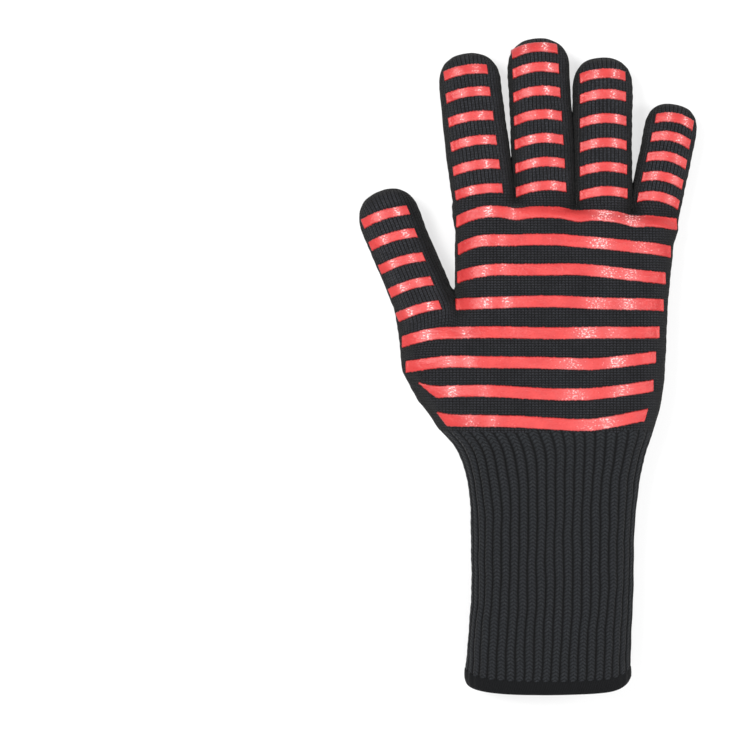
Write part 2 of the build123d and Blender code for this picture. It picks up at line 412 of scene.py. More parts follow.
def surfaceNet(values, origin, step):
    inside = values < 0
    shape = np.array(values.shape) - 1
    corners = [(i, j, k) for i in (0, 1) for j in (0, 1) for k in (0, 1)]

    def block(array, corner):
        return array[tuple(slice(c, c + n) for c, n in zip(corner, shape))]

    count = sum(block(inside, c).astype(int) for c in corners)
    active = (count > 0) & (count < 8)
    number = np.full(shape, -1)
    number[active] = np.arange(active.sum())
    total, hits = np.zeros((active.sum(), 3)), np.zeros(active.sum())
    for first in corners:
        for axis in range(3):
            if first[axis]:
                continue
            second = tuple(c + (a == axis) for a, c in enumerate(first))
            a, b = block(values, first)[active], block(values, second)[active]
            crossed = (a < 0) != (b < 0)
            share = np.where(crossed, a / np.where(crossed, a - b, 1), 0)
            spot = np.repeat(np.array([first], float), len(a), 0)
            spot[:, axis] += share
            total += spot * crossed[:, None]
            hits += crossed
    points = origin + step * (np.argwhere(active) + total / hits[:, None])
    quads = []
    for axis in range(3):
        u, v = (axis + 1) % 3, (axis + 2) % 3
        lead = [slice(None)] * 3
        lead[axis] = slice(0, -1)
        tail = list(lead)
        tail[axis] = slice(1, None)
        one, two = inside[tuple(lead)], inside[tuple(tail)]
        edge = np.argwhere(one != two)
        for side in (u, v):
            edge = edge[(edge[:, side] > 0) & (edge[:, side] < values.shape[side] - 1)]
        ring = []
        for du, dv in ((-1, -1), (0, -1), (0, 0), (-1, 0)):
            cellAt = edge.copy()
            cellAt[:, u] += du
            cellAt[:, v] += dv
            ring.append(number[tuple(cellAt.T)])
        quad = np.array(ring).T
        outward = one[tuple(edge.T)]
        quads.append(np.where(outward[:, None], quad, quad[:, ::-1]))
    quads = np.vstack(quads)
    return points, quads[(quads >= 0).all(1)]


step, margin = meshing["step"], meshing["margin"]
low, high = (np.array(corner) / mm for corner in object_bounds())
origin = np.array([low[0] - margin, meshing["wristCut"] - 2 * step, low[2] - meshing["below"]])
reach = high + (margin + 3 * meshing["gap"], margin, margin)
shape = np.ceil((reach - origin) / step).astype(int)
axes = [origin[a] + step * np.arange(shape[a]) for a in range(3)]
lattice = np.array(np.meshgrid(*axes, indexing="ij")).reshape(3, -1).T
trueX, cell, outside = closeFingers(lattice[:, 0], lattice[:, 1])
values = gloveField(np.column_stack([trueX, lattice[:, 1], lattice[:, 2]]), cell)
values = np.where(outside > 0, np.maximum(values, 0) + outside, values).reshape(shape)
netPoints, handFaces = surfaceNet(values, origin, step)
trueX, handCell, outside = closeFingers(netPoints[:, 0], netPoints[:, 1])
handPoints, handNormals = settle(np.column_stack([trueX, netPoints[:, 1], netPoints[:, 2]]), handCell)
faceMiddles = handPoints[handFaces].mean(1)
keep = faceMiddles[:, 1] > meshing["wristCut"]
handFaces, faceMiddles = handFaces[keep], faceMiddles[keep]
nearCuff = handPoints[:, 1] < cuff["ribTop"]
topRing = sleeveRings(np.array([cuff["top"]]), cuff["ribs"] * cuff["perRib"])[0]
ringMiddle = topRing.mean(0)


def ringAngle(p):
    return np.arctan2(p[:, 2] - ringMiddle[2], p[:, 0] - ringMiddle[0]) % (2 * np.pi)


ringPlaces = np.arange(len(topRing)) / cuff["perRib"]
place = np.interp(ringAngle(handPoints[nearCuff]), ringAngle(topRing), ringPlaces, period=2 * np.pi)
cuffY = handPoints[nearCuff, 1]
gutter = np.zeros(len(handPoints))
gutter[nearCuff] = (1 - ribCrest(ribWander(place, cuffY))) * ribFade(cuffY)
handPoints = handPoints - handNormals * (gutter * cuff["ribDepth"])[:, None]
print("hand surface", len(handPoints), "points", len(handFaces), "faces")

# where each bend starts and ends, and which face belongs to which piece

bend = {
    "barWidth": 4.7, "barClearance": 0.3,  # a bend runs from one bar to the next
    "thumbStart": -1.2,  # the thumb's cloth only leaves the palm above the crotch
    "cutBelow": 0.5,  # a piece starts this far before its bend does
    "thumbHalf": 24,  # beside the thumb, cloth further off than this is the palm's
}
for name, stall in stalls.items():
    stall["bendReach"] = stall["pitch"] / 2 - bend["barWidth"] / 2 - bend["barClearance"]


def bendEnds(name, index):
    stall = stalls[name]
    point = jointPoint(stall["joints"][index])
    if name != "thumb":
        return point - (0, stall["bendReach"], 0), point + (0, stall["bendReach"], 0)
    ahead = np.array([*stall["heading"], 0])
    start = bend["thumbStart"] if index == 0 else -stall["bendReach"]
    return point + start * ahead, point + stall["bendReach"] * ahead


faceCell = handCell[handFaces[:, 0]]
facePiece = np.full(len(handFaces), "palm", dtype=object)
for index, name in enumerate(fingers):
    stall = stalls[name]
    places = [jointPoint(joint)[1] for joint in stall["joints"]]
    cuts = [bendEnds(name, 0)[0][1] - bend["cutBelow"]] + [(a + b) / 2 for a, b in zip(places, places[1:])]
    for piece, cut in zip(stall["pieces"], cuts):
        facePiece[(faceCell == index) & (faceMiddles[:, 1] > cut)] = f"{name}_{piece}"
thumb = stalls["thumb"]
across, along = stallLocal(faceMiddles, thumb)
onThumb = stallField(faceMiddles, "thumb") < sleeveField(faceMiddles)
onThumb &= (along > bend["thumbStart"] - bend["cutBelow"]) & (np.abs(across) < bend["thumbHalf"])
facePiece[onThumb] = "thumb_base"
facePiece[onThumb & (along > thumb["places"][1] / 2)] = "thumb_tip"

# knit coordinates: across and along the cloth in millimetres, 1 on fingers, and painted light: 1 on the faces and 0
# down the sides, where shade is painted

knitYarn = {
    "wale": 1.75, "course": 1.35,  # stitch width and height in mm, drawn a little coarser than the real ones to show
    "yarn": "27282c", "paintedGrooveShade": "000000", "heather": "3a3b40",
    "fuzz": 1.6, "depth": 0.6,
    "slant": 0.9, "dip": 0.35,  # how steep a loop's legs are, and how deep the middle of its V
    "faces": (0.25, 0.92),  # share of the height between which a side, with painted shade, turns into a paler face
    # painted shadow at the fingers' roots, and painted shade on the thumb's inner side (across, along, strength)
    "paintedWebShadow": (3.0, 2.5), "inward": ((7, 13), (19, 24), (-20, -4), 0.85),
    # where the palm's stitches turn into the thumb's (into it, along it) and into a finger's (along it, y)
    "thumbTurn": ((-1, 7), (-30, -4)), "fingerTurn": ((-16, -2), 60),
    "ball": ((-5, 1), 12, 0.8),  # the thumb's ball widens the palm's cloth: where, how much, from what turn on
}


def stallPlaces(p, name):
    stall = stalls[name]
    across, along = stallLocal(p, stall)
    halfDepth, middle = stall["half"], stall["middle"]
    if name == "thumb":
        halfDepth = ballAt(along)[1] / 2
        middle = hand["tableTop"] + halfDepth
    halfWidth = stall["width"] / 2
    tip = halfWidth * stallForm["tipRound"]
    out, rise = np.abs(across) / halfWidth, np.abs(p[:, 2] - middle) / halfDepth
    cap = np.clip(along - stall["length"] + tip, 0, None) / tip
    wale = knitYarn["wale"]
    quarter = wale * (round(0.45 * math.pi * halfWidth / wale - 0.25) + 0.25)  # the sides fall on a stitch
    girth = quarter * np.arctan2(out, rise) * 2 / math.pi * np.sqrt(np.clip(1 - cap * cap, 0, 1))
    start = wale * (round(stall["origin"][0] / wale) + 0.5)
    run = along - cap * tip + tip * np.arctan2(cap, np.hypot(out, rise))
    return along, np.sign(across) * girth + start, run + stall["origin"][1], rise


def knitPlaces(p):
    middle, half, thickness = sleeveAt(p[:, 1])
    side = hand["sideRound"] * thickness
    offset = p[:, 0] - middle
    flat = half - side
    depth = thickness / 2 - hand["crown"] * np.clip(np.abs(offset) / half, 0, 1) ** 2
    rise = np.abs(p[:, 2] - hand["tableTop"] - thickness / 2) / depth
    turned = np.arctan2(np.clip(np.abs(offset) - flat, 0, None), rise * side)
    wrapped = np.minimum(np.abs(offset), flat) + (side + depth) / 2 * turned
    distances = np.array([stallField(p, name) for name in stalls])
    nearest = distances.argmin(0)
    palmField = sleeveField(p)
    within, widens, firstTurn = knitYarn["ball"]
    onBall = smoothStep(palmField - distances[-1], *within)
    across, along = stallLocal(p, stalls["thumb"])
    ballSide = np.arctan2(np.abs(across) / (ballAt(along)[0] / 2), rise)
    wrapped = wrapped + onBall * (np.abs(offset) + widens * np.clip(ballSide - firstTurn, 0, None) - wrapped)
    u, v, zone = np.sign(offset) * wrapped + middle, p[:, 1].copy(), np.zeros(len(p))
    for index, name in enumerate(stalls):
        along, ownU, ownV, ownRise = stallPlaces(p, name)
        if name == "thumb":
            into, ahead = knitYarn["thumbTurn"]
            weight = smoothStep(palmField - distances[index], *into) * smoothStep(along, *ahead)
        else:
            ahead, lowest = knitYarn["fingerTurn"]
            weight = smoothStep(along, *ahead) * (p[:, 1] > lowest)
        weight = weight * (nearest == index)
        u, v, rise = (old + weight * (own - old) for old, own in ((u, ownU), (v, ownV), (rise, ownRise)))
        zone = np.maximum(zone, weight)
    # painted shade down the sides of the knit, where it turns from the light; the faces stay paler
    paintedLighting = smoothStep(rise, *knitYarn["faces"])
    reach, rim = knitYarn["paintedWebShadow"]
    for web in range(3):  # painted shadow in the hollows between the fingers' roots
        paintedWebShadow = np.exp(-((p[:, 0] - webLine(web, p[:, 1])) / reach) ** 2)
        paintedLighting = paintedLighting * (1 - paintedWebShadow * smoothStep(p[:, 1], crotches[web] - rim, crotches[web] + rim))
    # painted shade on the thumb's inner side
    across, along = stallLocal(p, stalls["thumb"])
    begins, ends, ahead, strength = knitYarn["inward"]
    inward = smoothStep(across, *begins) * (1 - smoothStep(across, *ends))
    paintedLighting = paintedLighting * (1 - strength * inward * smoothStep(along, *ahead))
    return np.column_stack([u, v, zone, paintedLighting])


# mesh making


def boundaryEdges(faces, count):
    starts, ends = faces.ravel(), np.roll(faces, -1, axis=1).ravel()
    lonely = ~np.isin(starts * count + ends, ends * count + starts)
    return starts[lonely], ends[lonely]


def walled(outer, inner, faces):
    count = len(outer)
    starts, ends = boundaryEdges(faces, count)
    rim = np.column_stack([ends, starts, starts + count, ends + count])
    return np.vstack([outer, inner]), np.vstack([faces, faces[:, ::-1] + count, rim])


def newObject(name, data):
    thing = bpy.data.objects.new(name, data)
    bpy.context.scene.collection.objects.link(thing)
    return thing


def makePiece(name, points, faces, material, normals=None, places=None):
    mesh = bpy.data.meshes.new(name)
    mesh.from_pydata((points * mm).tolist(), [], faces.tolist())
    mesh.shade_smooth()
    if places is not None:
        attribute = mesh.attributes.new("cloth", "FLOAT_VECTOR", "POINT")
        attribute.data.foreach_set("vector", places[:, :3].astype(np.float32).ravel())
        # painted light as a fourth column: painted shade on the knit, painted highlights on the rubber
        if places.shape[1] > 3:
            attribute = mesh.attributes.new("paintedLight", "FLOAT", "POINT")
            attribute.data.foreach_set("value", places[:, 3].astype(np.float32))
    mesh.materials.append(material)
    if normals is not None:
        mesh.normals_split_custom_set_from_vertices(normals.tolist())
    piece = newObject(name, mesh)
    return piece


# materials


def colour(code, alpha=1.0):
    channels = [int(code[i:i + 2], 16) / 255 for i in (0, 2, 4)]
    return [c / 12.92 if c <= 0.04045 else ((c + 0.055) / 1.055) ** 2.4 for c in channels] + [alpha]


def addNode(tree, kind, inputs=None, **settings):
    node = tree.nodes.new("ShaderNode" + kind)
    for key, value in settings.items():
        setattr(node, key, value)
    for key, value in (inputs or {}).items():
        if isinstance(value, bpy.types.Node):
            value = value.outputs[0]
        if isinstance(value, bpy.types.NodeSocket):
            tree.links.new(value, node.inputs[key])
        else:
            node.inputs[key].default_value = value
    return node


def newMaterial(name, surface):
    material = bpy.data.materials.new(name)
    material.use_nodes = True
    tree = material.node_tree
    tree.nodes.clear()
    shader = addNode(tree, "BsdfPrincipled", surface)
    addNode(tree, "OutputMaterial", {"Surface": shader})
    return material, tree, shader


def clothPlace(tree):
    place = addNode(tree, "Attribute", attribute_name="cloth").outputs["Vector"]
    return place, *addNode(tree, "SeparateXYZ", {0: place}).outputs


def yarnWave(tree, value, scale):
    # round threads side by side: 1 on top of each, 0 between two
    turned = addNode(tree, "Math", {0: value, 1: scale}, operation="MULTIPLY")
    wave = addNode(tree, "Math", {0: turned}, operation="SINE")
    return addNode(tree, "Math", {0: wave}, operation="ABSOLUTE")


def stitchHeight(tree, u, v, yarn):
    # rows of V-shaped loops: 1 on top of the yarn, 0 in the grooves
    if "wale" in yarn:
        u = addNode(tree, "Math", {0: u, 1: yarn["wale"]}, operation="DIVIDE")
    courses = addNode(tree, "Math", {0: v, 1: yarn["course"]}, operation="DIVIDE")
    share = addNode(tree, "Math", {0: u}, operation="FRACT")
    offset = addNode(tree, "Math", {0: share, 1: 0.5}, operation="SUBTRACT")
    off = addNode(tree, "Math", {0: offset}, operation="ABSOLUTE")
    leaning = addNode(tree, "Math", {0: off, 1: yarn["slant"], 2: courses}, operation="MULTIPLY_ADD")
    loop = yarnWave(tree, leaning, math.pi)
    edge = addNode(
        tree, "MapRange", {"Value": off, "From Min": 0.5, "From Max": 0.26}, interpolation_type="SMOOTHSTEP")
    dip = addNode(tree, "MapRange", {"Value": off, "From Max": 0.12, "To Min": 1 - yarn["dip"]})
    column = addNode(tree, "Math", {0: edge, 1: dip}, operation="MULTIPLY")
    return loop, column


def heatheredYarn(tree, place, yarn, height):
    # paler single fibres, which also roughen the yarn a little
    fuzz = addNode(tree, "TexNoise", {"Vector": place, "Scale": yarn["fuzz"], "Detail": 2.0})
    pale = addNode(tree, "MapRange", {"Value": fuzz, "From Min": 0.45, "From Max": 0.7})
    colours = {0: pale, 6: colour(yarn["yarn"]), 7: colour(yarn["heather"])}
    heather = addNode(tree, "Mix", colours, data_type="RGBA").outputs[2]
    return heather, addNode(tree, "Math", {0: fuzz, 1: 0.25, 2: height}, operation="MULTIPLY_ADD")


def coat(tree, shader, light, dark, bright, height, strength, depth):
    base = addNode(tree, "Mix", {0: light, 6: dark, 7: bright}, data_type="RGBA")
    tree.links.new(base.outputs[2], shader.inputs["Base Color"])
    bump = addNode(tree, "Bump", {"Height": height, "Strength": strength, "Distance": depth * mm})
    tree.links.new(bump.outputs[0], shader.inputs["Normal"])


matt = {"Roughness": 0.88, "Specular IOR Level": 0.15, "Sheen Weight": 0.06, "Sheen Roughness": 0.5}


def knitMaterial():
    # acrylic and aramid yarn, stockinette knitted: matt charcoal, with painted light along each stitch and painted
    # shade, near black, between them
    material, tree, shader = newMaterial("aramidYarnKnitted", matt)
    place, u, v, zone = clothPlace(tree)
    loop, column = stitchHeight(tree, u, v, knitYarn)
    dips = []
    for crest, onPalm, onFinger in ((column, 0.72, 1.0), (loop, 0.8, 0.4)):  # fingers show columns, the palm rows
        share = addNode(tree, "MapRange", {"Value": zone, "To Min": onPalm, "To Max": onFinger})
        below = addNode(tree, "Math", {0: 1.0, 1: crest}, operation="SUBTRACT")
        dips.append(addNode(tree, "Math", {0: below, 1: share}, operation="MULTIPLY"))
    deepest = addNode(tree, "Math", {0: dips[0], 1: dips[1]}, operation="MAXIMUM")
    height = addNode(tree, "Math", {0: 1.0, 1: deepest}, operation="SUBTRACT")
    yarn, fuzzed = heatheredYarn(tree, place, knitYarn, height)
    patches = addNode(tree, "TexNoise", {"Vector": place, "Scale": 0.09, "Detail": 3.0})
    tones = {"Value": patches, "From Min": 0.3, "From Max": 0.7, "To Min": 0.75, "To Max": 1.12}
    shade = addNode(tree, "MapRange", tones)
    paintedLightMask = addNode(tree, "Attribute", attribute_name="paintedLight").outputs["Fac"]
    face = addNode(tree, "MapRange", {"Value": paintedLightMask, "To Min": 0.1})  # painted shade: the faces paler than the sides
    shade = addNode(tree, "Math", {0: shade, 1: face}, operation="MULTIPLY")
    paintedLighting = addNode(tree, "VectorMath", {0: yarn, "Scale": shade}, operation="SCALE")
    light = addNode(tree, "MapRange", {"Value": height, "From Min": 0.3, "From Max": 0.95})
    coat(tree, shader, light, colour(knitYarn["paintedGrooveShade"]), paintedLighting, fuzzed, 1.0, knitYarn["depth"])
    return material


knit = knitMaterial()

ribYarn = {
    "course": 1.9, "slant": 1.9, "dip": 0.5,
    "yarn": "202225", "paintedGrooveShade": "050506", "heather": "2c2e31", "fuzz": 1.5, "depth": 0.55,
}


def ribMaterial():
    # the same yarn rib knitted: fat charcoal cords, with painted shade making the gutters between them black
    material, tree, shader = newMaterial("aramidYarnRibKnitted", matt)
    place, u, v, onCrest = clothPlace(tree)
    loop, column = stitchHeight(tree, u, v, ribYarn)
    height = addNode(tree, "Math", {0: loop, 1: column}, operation="MULTIPLY")
    spread = addNode(tree, "VectorMath", {0: place, 1: (cuff["pitch"], 1.0, 1.0)}, operation="MULTIPLY")
    yarn, fuzzed = heatheredYarn(tree, spread, ribYarn, height)
    # painted shade: darker in the ribs' gutters than on their crests, and between the stitches
    crest = addNode(tree, "MapRange", {"Value": onCrest, "From Min": -0.15, "From Max": 0.95})
    lit = addNode(tree, "MapRange", {"Value": height, "From Max": 0.7, "To Min": 0.12, "To Max": 1.1})
    light = addNode(tree, "Math", {0: crest, 1: lit}, operation="MULTIPLY")
    coat(tree, shader, light, colour(ribYarn["paintedGrooveShade"]), yarn, fuzzed, 0.8, ribYarn["depth"])
    return material


rib = ribMaterial()

hemYarn = {"yarn": "0f1012", "paintedGrooveShade": "030304", "stitch": 0.9, "depth": 0.25}


def hemMaterial():
    # polyester thread overlocked tightly round the edge: a smoother, darker band with fine slanting threads
    surface = {"Roughness": 0.85, "Specular IOR Level": 0.15, "Sheen Weight": 0.03}
    material, tree, shader = newMaterial("polyesterThreadOverlocked", surface)
    place, u, v = clothPlace(tree)[:3]
    leaning = addNode(tree, "Math", {0: v, 1: 0.25, 2: u}, operation="MULTIPLY_ADD")
    thread = yarnWave(tree, leaning, math.pi / hemYarn["stitch"])
    fuzz = addNode(tree, "TexNoise", {"Vector": place, "Scale": 0.8, "Detail": 2.0})
    height = addNode(tree, "Math", {0: fuzz, 1: 0.5, 2: thread}, operation="MULTIPLY_ADD")
    # painted shade in the gaps between the threads
    light = addNode(tree, "MapRange", {"Value": height, "From Min": 0.2, "From Max": 1.1})
    coat(tree, shader, light, colour(hemYarn["paintedGrooveShade"]), colour(hemYarn["yarn"]), height, 0.7, hemYarn["depth"])
    return material


hemBand = hemMaterial()

liningYarn = {
    "wale": 1.1, "course": 0.95, "slant": 0.9, "dip": 0.3,
    "yarn": "55575c", "paintedGrooveShade": "1c1d20", "depth": 0.2,
}


def liningMaterial():
    # cotton jersey: paler, soft and flat, with small even stitches
    material, tree, shader = newMaterial("cottonJerseyKnitted", {"Roughness": 0.92, "Sheen Weight": 0.1})
    u, v = clothPlace(tree)[1:3]
    loop, column = stitchHeight(tree, u, v, liningYarn)
    height = addNode(tree, "Math", {0: loop, 1: column}, operation="MULTIPLY")
    # painted shade between the stitches
    dark, bright = colour(liningYarn["paintedGrooveShade"]), colour(liningYarn["yarn"])
    coat(tree, shader, height, dark, bright, height, 0.6, liningYarn["depth"])
    return material


lining = liningMaterial()

barRubber = {
    "red": "c83e3d", "edge": "96201f", "deep": "be3536", "paintedHighlight": "ffcccc",
    "grain": 1.6,  # the knit prints through the rubber at its own stitch size, mm
    "depth": 0.45,
}


def rubberMaterial():
    # silicone printed and cured on the knit: flat coral red, satin, its high spots glossier and painted with white
    # highlights
    material, tree, shader = newMaterial("siliconePrintedCoral", {"IOR": 1.43})
    u, v, fromEdge = clothPlace(tree)[1:]
    paintedLight = addNode(tree, "Attribute", attribute_name="paintedLight").outputs["Fac"]
    flat = addNode(tree, "CombineXYZ", {0: u, 1: v})
    cloud = addNode(tree, "TexNoise", {"Vector": flat, "Scale": 0.12, "Detail": 2.0})
    tone = addNode(tree, "MapRange", {"Value": cloud, "From Min": 0.35, "From Max": 0.65})
    tones = {0: tone, 6: colour(barRubber["deep"]), 7: colour(barRubber["red"])}
    body = addNode(tree, "Mix", tones, data_type="RGBA").outputs[2]
    rim = addNode(tree, "MapRange", {"Value": fromEdge, "From Max": 0.55})
    red = addNode(tree, "Mix", {0: rim, 6: colour(barRubber["edge"]), 7: body}, data_type="RGBA").outputs[2]
    # painted highlights, white glints of the lamps: only where the bar's painted light is set, and only on the grain's
    # crests
    streaks = addNode(tree, "VectorMath", {0: flat, 1: (0.75, 1.15, 1.0)}, operation="MULTIPLY")
    specks = addNode(tree, "TexNoise", {"Vector": streaks, "Scale": 1.15, "Detail": 2.0, "Roughness": 0.7})
    level = addNode(tree, "Math", {0: paintedLight, 1: -0.2, 2: 0.71}, operation="MULTIPLY_ADD")
    above = addNode(tree, "Math", {0: specks, 1: level}, operation="SUBTRACT")
    paintedLightMask = addNode(tree, "MapRange", {"Value": above, "From Max": 0.05})
    inside = addNode(tree, "MapRange", {"Value": fromEdge, "From Min": 0.3, "From Max": 0.8})
    paintedLightMask = addNode(tree, "Math", {0: paintedLightMask, 1: inside}, operation="MULTIPLY")
    # painted sheen: a faint pale haze round the painted highlights
    paintedSheen = addNode(tree, "Math", {0: paintedLight, 1: 0.12}, operation="MULTIPLY")
    paintedLightMask = addNode(tree, "Math", {0: paintedLightMask, 1: 0.85, 2: paintedSheen}, operation="MULTIPLY_ADD")
    grain = addNode(
        tree, "TexNoise", {"Vector": flat, "Scale": 1 / barRubber["grain"], "Detail": 3.0, "Roughness": 0.6})
    coat(tree, shader, paintedLightMask, red, colour(barRubber["paintedHighlight"]), grain, 1.0, barRubber["depth"])
    gloss = {"Value": specks, "From Min": 0.35, "From Max": 0.65, "To Min": 0.26, "To Max": 0.42}
    tree.links.new(addNode(tree, "MapRange", gloss).outputs[0], shader.inputs["Roughness"])
    return material


rubber = rubberMaterial()
print("materials made")

# knit pieces of the hand, each crossing at most one bend

cloth = {"wall": 2.4, "liningGap": 0.25, "liningWall": 1.2}
liningDepth = cloth["wall"] + cloth["liningGap"]
liningDepths = (liningDepth, liningDepth + cloth["liningWall"])


def clothPiece(name, points, normals, faces, places, depths, material):
    used, local = np.unique(faces, return_inverse=True)
    local = local.reshape(faces.shape)
    p, n = points[used], normals[used]
    shell, walls = walled(p - n * depths[0], p - n * depths[1], local)
    return makePiece(name, shell, walls, material, np.vstack([n, -n]), np.vstack([places[used]] * 2))


def attach(piece, bodies):
    if len(bodies) == 1:
        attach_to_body(piece, bodies[0])
    else:
        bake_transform(piece)


handPlaces = knitPlaces(handPoints)
pieceBodies = {"palm": (["palm"], None)}
for name, stall in stalls.items():
    bodies = ["palm"] + [f"{name}_{piece}" for piece in stall["pieces"]]
    for index, piece in enumerate(stall["pieces"]):
        pieceBodies[f"{name}_{piece}"] = ([bodies[index], bodies[index + 1]], bendEnds(name, index))
for name, (bodies, ends) in pieceBodies.items():
    faces = handFaces[facePiece == name]
    outer = clothPiece(f"{name}_knit", handPoints, handNormals, faces, handPlaces, (0, cloth["wall"]), knit)
    attach(outer, bodies)
    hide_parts(f"{name}_shell")
    inner = clothPiece(f"{name}_lining", handPoints, handNormals, faces, handPlaces, liningDepths, lining)
    attach(inner, bodies)
    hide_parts(f"{name}_liner")
    print("piece", name, len(faces))

# ribbed cuff


def gridNormals(rings):
    down = np.gradient(rings, axis=0)
    beside = np.roll(rings, -1, axis=1) - np.roll(rings, 1, axis=1)
    normals = np.cross(beside, down)
    normals /= np.maximum(np.linalg.norm(normals, axis=2, keepdims=True), 1e-9)
    outward = rings - rings.mean(1, keepdims=True)
    return normals if (normals * outward).sum() > 0 else -normals


def gridFaces(rows, columns, rowsClose=False, columnsClose=False):
    across = np.arange(columns if columnsClose else columns - 1)
    row, column = np.meshgrid(np.arange(rows if rowsClose else rows - 1), across, indexing="ij")
    after, beside = (row + 1) % rows, (column + 1) % columns
    corners = [row * columns + column, row * columns + beside, after * columns + beside, after * columns + column]
    return np.stack(corners, axis=2).reshape(-1, 4)


def facingOut(points, normals, faces):
    corners = points[faces]
    facing = np.cross(corners[:, 1] - corners[:, 0], corners[:, 2] - corners[:, 0])
    return faces if (facing * normals[faces[:, 0]]).sum() > 0 else faces[:, ::-1]


def endCurve(points):
    middle, half = sleeveAt(points[..., 1])[:2]
    share = np.clip(np.abs(points[..., 0] - middle) / half, 0, 1)
    leftRise, rightRise = (
        high * share ** bow + corner * share ** tight for high, bow, corner, tight in cuff["cornerRise"].values())
    rise = np.where(points[..., 0] < middle, leftRise, rightRise)
    moved = points.copy()
    moved[..., 1] += rise * (1 - smoothStep(points[..., 1], cuff["bottom"], cuff["bottom"] + cuff["cornerRun"]))
    return moved


around = cuff["ribs"] * cuff["perRib"]
rowYs = np.arange(cuff["top"], cuff["bottom"] - 0.01, -cuff["rowStep"])
rings = sleeveRings(rowYs, around)
smoothNormals = gridNormals(rings)
ribShare = np.arange(around) / cuff["perRib"]
ribPlace = ribWander(ribShare[None, :], rowYs[:, None])
crest = ribCrest(ribPlace)
fade = ribFade(rowYs)[:, None]
under = cuff["tuck"] * smoothStep(rowYs, cuff["top"] - cuff["tuckRun"], cuff["top"])[:, None]
dent = under + cuff["ribDepth"] * (1 - crest) * fade
ribbed = rings - smoothNormals * dent[..., None]
ribNormals = gridNormals(ribbed)
# the third column sets the painted shade in the ribs' gutters
ribPlaces = np.stack([ribPlace, np.repeat(rowYs[:, None], around, 1), 1 - fade * (1 - crest)], axis=2)
ribGirth = np.repeat(ribShare[None, :] * cuff["pitch"], len(rowYs), 0)
girthPlaces = np.stack([ribGirth, ribPlaces[..., 1], crest * 0], axis=2)
tube = gridFaces(len(rowYs), around, columnsClose=True)
tube = facingOut(rings.reshape(-1, 3), smoothNormals.reshape(-1, 3), tube)
tubeMiddles = rings.reshape(-1, 3)[tube][..., 1].mean(1)
ribbed, rings = endCurve(ribbed).reshape(-1, 3), endCurve(rings).reshape(-1, 3)
smoothNormals, ribNormals = smoothNormals.reshape(-1, 3), ribNormals.reshape(-1, 3)
for name, chosen, bodies, replaced in (
    ("wrist", tubeMiddles > cuff["wristEnd"], ["palm", "cuff"], []),
    ("cuff", tubeMiddles <= cuff["wristEnd"], ["cuff"], ["cuff"]),
):
    used, local = np.unique(tube[chosen], return_inverse=True)
    local = local.reshape(-1, 4)
    inside = rings[used] - smoothNormals[used] * cloth["wall"]
    shell, walls = walled(ribbed[used], inside, local)
    outer = makePiece(f"{name}_rib", shell, walls, rib,
                      np.vstack([ribNormals[used], -smoothNormals[used]]),
                      np.vstack([ribPlaces.reshape(-1, 3)[used]] * 2))
    attach(outer, bodies)
    inner = clothPiece(
        f"{name}_lining", rings, smoothNormals, tube[chosen], girthPlaces.reshape(-1, 3), liningDepths, lining)
    attach(inner, bodies)
    if replaced:
        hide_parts("cuff")
        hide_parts("cuff_liner")
print("cuff made")

# folded hem round the cuff's end: outline as (outwards, down) from the end of the ribs

hem = {
    "outline": [
        (-1.3, 1.2), (-0.35, 1.0), (0.05, 0.4), (0.2, -0.8), (0.3, -2.8), (0.25, -4.6), (0.0, -5.7),
        (-0.4, -6.35), (-1.5, -6.4), (-2.5, -6.1), (-3.4, -5.2), (-3.75, -3.5), (-3.75, -0.6), (-3.3, 0.9), (-2.0, 1.4),
    ],
    "around": 264, "pucker": 0.22,
}
endRing = sleeveRings(np.array([cuff["bottom"] - 1, cuff["bottom"]]), hem["around"])
outwards = gridNormals(endRing)[1]
endRing = endRing[1]
turn = np.arange(hem["around"]) / hem["around"]
pucker = hem["pucker"] * np.sin(turn * 2 * np.pi * cuff["ribs"])
loops = []
for out, down in hem["outline"]:
    ring = endRing + outwards * (out + pucker * (out > 0))[:, None]
    ring[:, 1] = cuff["bottom"] + down
    loops.append(endCurve(ring))
hemPoints = np.array(loops).reshape(-1, 3)
away = hemPoints - np.tile(np.array(loops).mean(0), (len(loops), 1))
hemFaces = facingOut(hemPoints, away, gridFaces(len(loops), hem["around"], rowsClose=True, columnsClose=True))
hemPlaces = np.array([(girth, run, 0) for run in runAlong(np.array(hem["outline"])) for girth in runAlong(endRing)])
hemPiece = makePiece("cuff_hem_band", hemPoints, hemFaces, hemBand, places=hemPlaces)
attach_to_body(hemPiece, "cuff")
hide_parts("cuff_hem")
print("hem made")

# rubber bars laid over the knit, on both faces

bars = {
    "height": 0.72, "edge": 0.25,  # thickness, and the share of it left at the edge
    "sunk": 0.45, "round": 0.55, "clear": 1.1,  # clear: how near a bar comes to its stall's left side
    "grid": 0.56, "gridAcross": 1.0, "edgeGrid": (0, 0.12, 0.35, 0.75), "edgeBand": 1.3,
    "tooth": 0.5, "toothPitch": 1.7, "toothLift": (0.3, 1.0),  # the print's edges follow the stitches
    "lowest": 0.03,  # nothing goes below the table
    # painted highlights: (share of the bar's length, reach) of each, how far they wander, how strong they are
    "stallPaintedGlints": (((0.33, 2.2), (0.74, 2.2)), 0.05, (0.45, 1.0)),
    "palmPaintedGlints": (((0.15, 3.5), (0.24, 3.0), (0.68, 7.0), (0.82, 6.0)), 0.04, (0.55, 1.0)),
    "bridge": 12, "bridgeDip": 0.25,  # how far a bar spans a crease, in steps along it, and how far it dips into it
    "core": (13.0, 25.0, 16),  # the palm's middle height, how far the knit is looked for, halvings
}
chance = np.random.default_rng(7)


def barSteps(length, spacing):
    near, band = np.array(bars["edgeGrid"]), bars["edgeBand"]
    inner = np.linspace(band, length - band, max(2, int(round((length - 2 * band) / spacing)) + 1))
    return np.concatenate([near, inner, length - near[::-1]])


